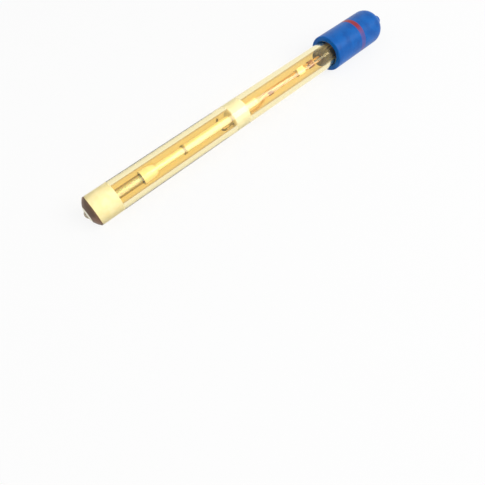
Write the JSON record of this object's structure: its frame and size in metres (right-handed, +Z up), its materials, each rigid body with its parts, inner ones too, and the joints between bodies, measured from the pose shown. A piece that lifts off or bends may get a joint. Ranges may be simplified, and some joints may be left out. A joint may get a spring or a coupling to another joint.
{
  "type": "ph electrode",
  "caption": "Combination pH probe: see-through amber barrel with its inner tubes, plugs and leads in view, a domed tip and a blue cap with a cable inlet.",
  "frame": {"origin": "on the barrel's axis, in the plane of the cap's open rim, where the barrel comes out of the cap", "axes": "+X along the barrel from the tip to the cap, +Z up as the probe lies on its side"},
  "size_m": [0.1602, 0.0164, 0.0164],
  "materials": {
    "amber_tube": "see-through amber plastic, gloss",
    "dark_epoxy": "cast epoxy, gloss",
    "porous_white": "porous, matte",
    "clear_glass": "clear blown glass",
    "buffer_fill": "clear gelled buffer",
    "clear_gel": "clear cast gel",
    "silver_wire": "coated silver wire, dull",
    "white_bush": "moulded white plastic, satin",
    "pale_tube": "extruded tube, satin",
    "grey_union": "moulded plastic, matte",
    "lead_sheath": "extruded wire sheath, satin",
    "solder_cover": "shrunk sleeve, semi-gloss",
    "dark_potting": "cast resin, gloss",
    "black_rubber": "moulded ring, satin",
    "tinned_copper": "tinned, satin",
    "blue_cap": "moulded plastic, satin"
  },
  "bodies": {
    "root": {"barrel": "amber_tube", "cap_seal": "black_rubber", "tip_seal": "dark_epoxy", "junction_plug": "porous_white", "glass_stem": "clear_glass", "sensing_membrane": "clear_glass", "inner_element": "silver_wire", "inner_buffer": "buffer_fill", "stem_seal": "white_bush", "stem_collar": "white_bush", "inner_tube": "pale_tube", "tube_union": "grey_union", "carrier_tube": "pale_tube", "reference_element": "silver_wire", "electrolyte_gel": "clear_gel", "chamber_plug": "white_bush", "lead_sleeve": "pale_tube", "signal_lead": "lead_sheath", "reference_lead": "lead_sheath", "lead_splice": "solder_cover", "spacer_bead": "porous_white", "solder_sleeve": "solder_cover", "barrel_potting": "dark_potting", "signal_ferrule": "tinned_copper", "reference_ferrule": "tinned_copper", "cap": "blue_cap"}
  },
  "joints": []
}
